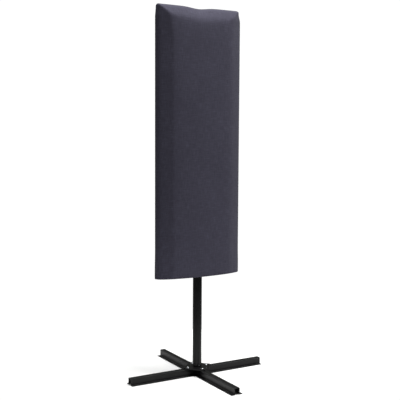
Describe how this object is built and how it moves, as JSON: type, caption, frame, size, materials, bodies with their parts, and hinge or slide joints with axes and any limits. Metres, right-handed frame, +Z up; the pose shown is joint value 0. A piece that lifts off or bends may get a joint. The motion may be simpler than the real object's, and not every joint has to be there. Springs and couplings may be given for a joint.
{
  "type": "partition wall",
  "caption": "Free-standing partition screen: a tall crowned upholstered panel that turns on a round steel pole, over a flat cross foot of folded sheet arms.",
  "frame": {"origin": "on the floor, on the pole's axis, under the middle of the cross foot", "axes": "+Z up along the pole, X along the panel's width, -Y out of the front face"},
  "size_m": [0.8, 0.8, 1.942],
  "materials": {
    "black_coat": "satin",
    "raw_steel": "satin",
    "bright_zinc": "polished",
    "nylon": "satin",
    "stained_board": "matte",
    "timber": "matte",
    "felt": "matte",
    "foam": "matte",
    "cover": "matte"
  },
  "bodies": {
    "stand": {"foot_arm_left": "black_coat", "foot_arm_right": "black_coat", "foot_arm_front": "black_coat", "foot_arm_rear": "black_coat", "joining_cross": "raw_steel", "weld_nuts": "raw_steel", "base_plate": "black_coat", "foot_screws": "bright_zinc", "pole_spigot": "raw_steel", "pole": "black_coat", "pole_lock_screw": "bright_zinc", "pole_cap": "nylon"},
    "pad": {"swivel_pad": "nylon"},
    "panel": {"socket_tube": "raw_steel", "socket_flange": "raw_steel", "socket_stop_plate": "raw_steel", "lower_bush": "nylon", "upper_bush": "nylon", "bottom_board": "stained_board", "frame_stile_left": "timber", "frame_stile_right": "timber", "frame_top_rail": "timber", "frame_mid_rail_left": "timber", "frame_mid_rail_right": "timber", "frame_screws": "bright_zinc", "board_screws": "bright_zinc", "flange_screws": "bright_zinc", "stop_plate_screws": "bright_zinc", "core_upper": "felt", "core_lower_left": "felt", "core_lower_right": "felt", "foam_front": "foam", "foam_rear": "foam", "cover_front": "cover", "cover_rear": "cover", "cover_hem": "cover", "hem_staples": "bright_zinc"}
  },
  "joints": [
    {"name": "panel_swivel", "type": "hinge", "parent": "stand", "child": "pad", "pos_m": [0, 0, 1.246], "axis": [0, 0, 1], "continuous": true},
    {"name": "panel_lift", "type": "slide", "parent": "pad", "child": "panel", "axis": [0, 0, 1], "range_m": [0, 0.69]}
  ]
}
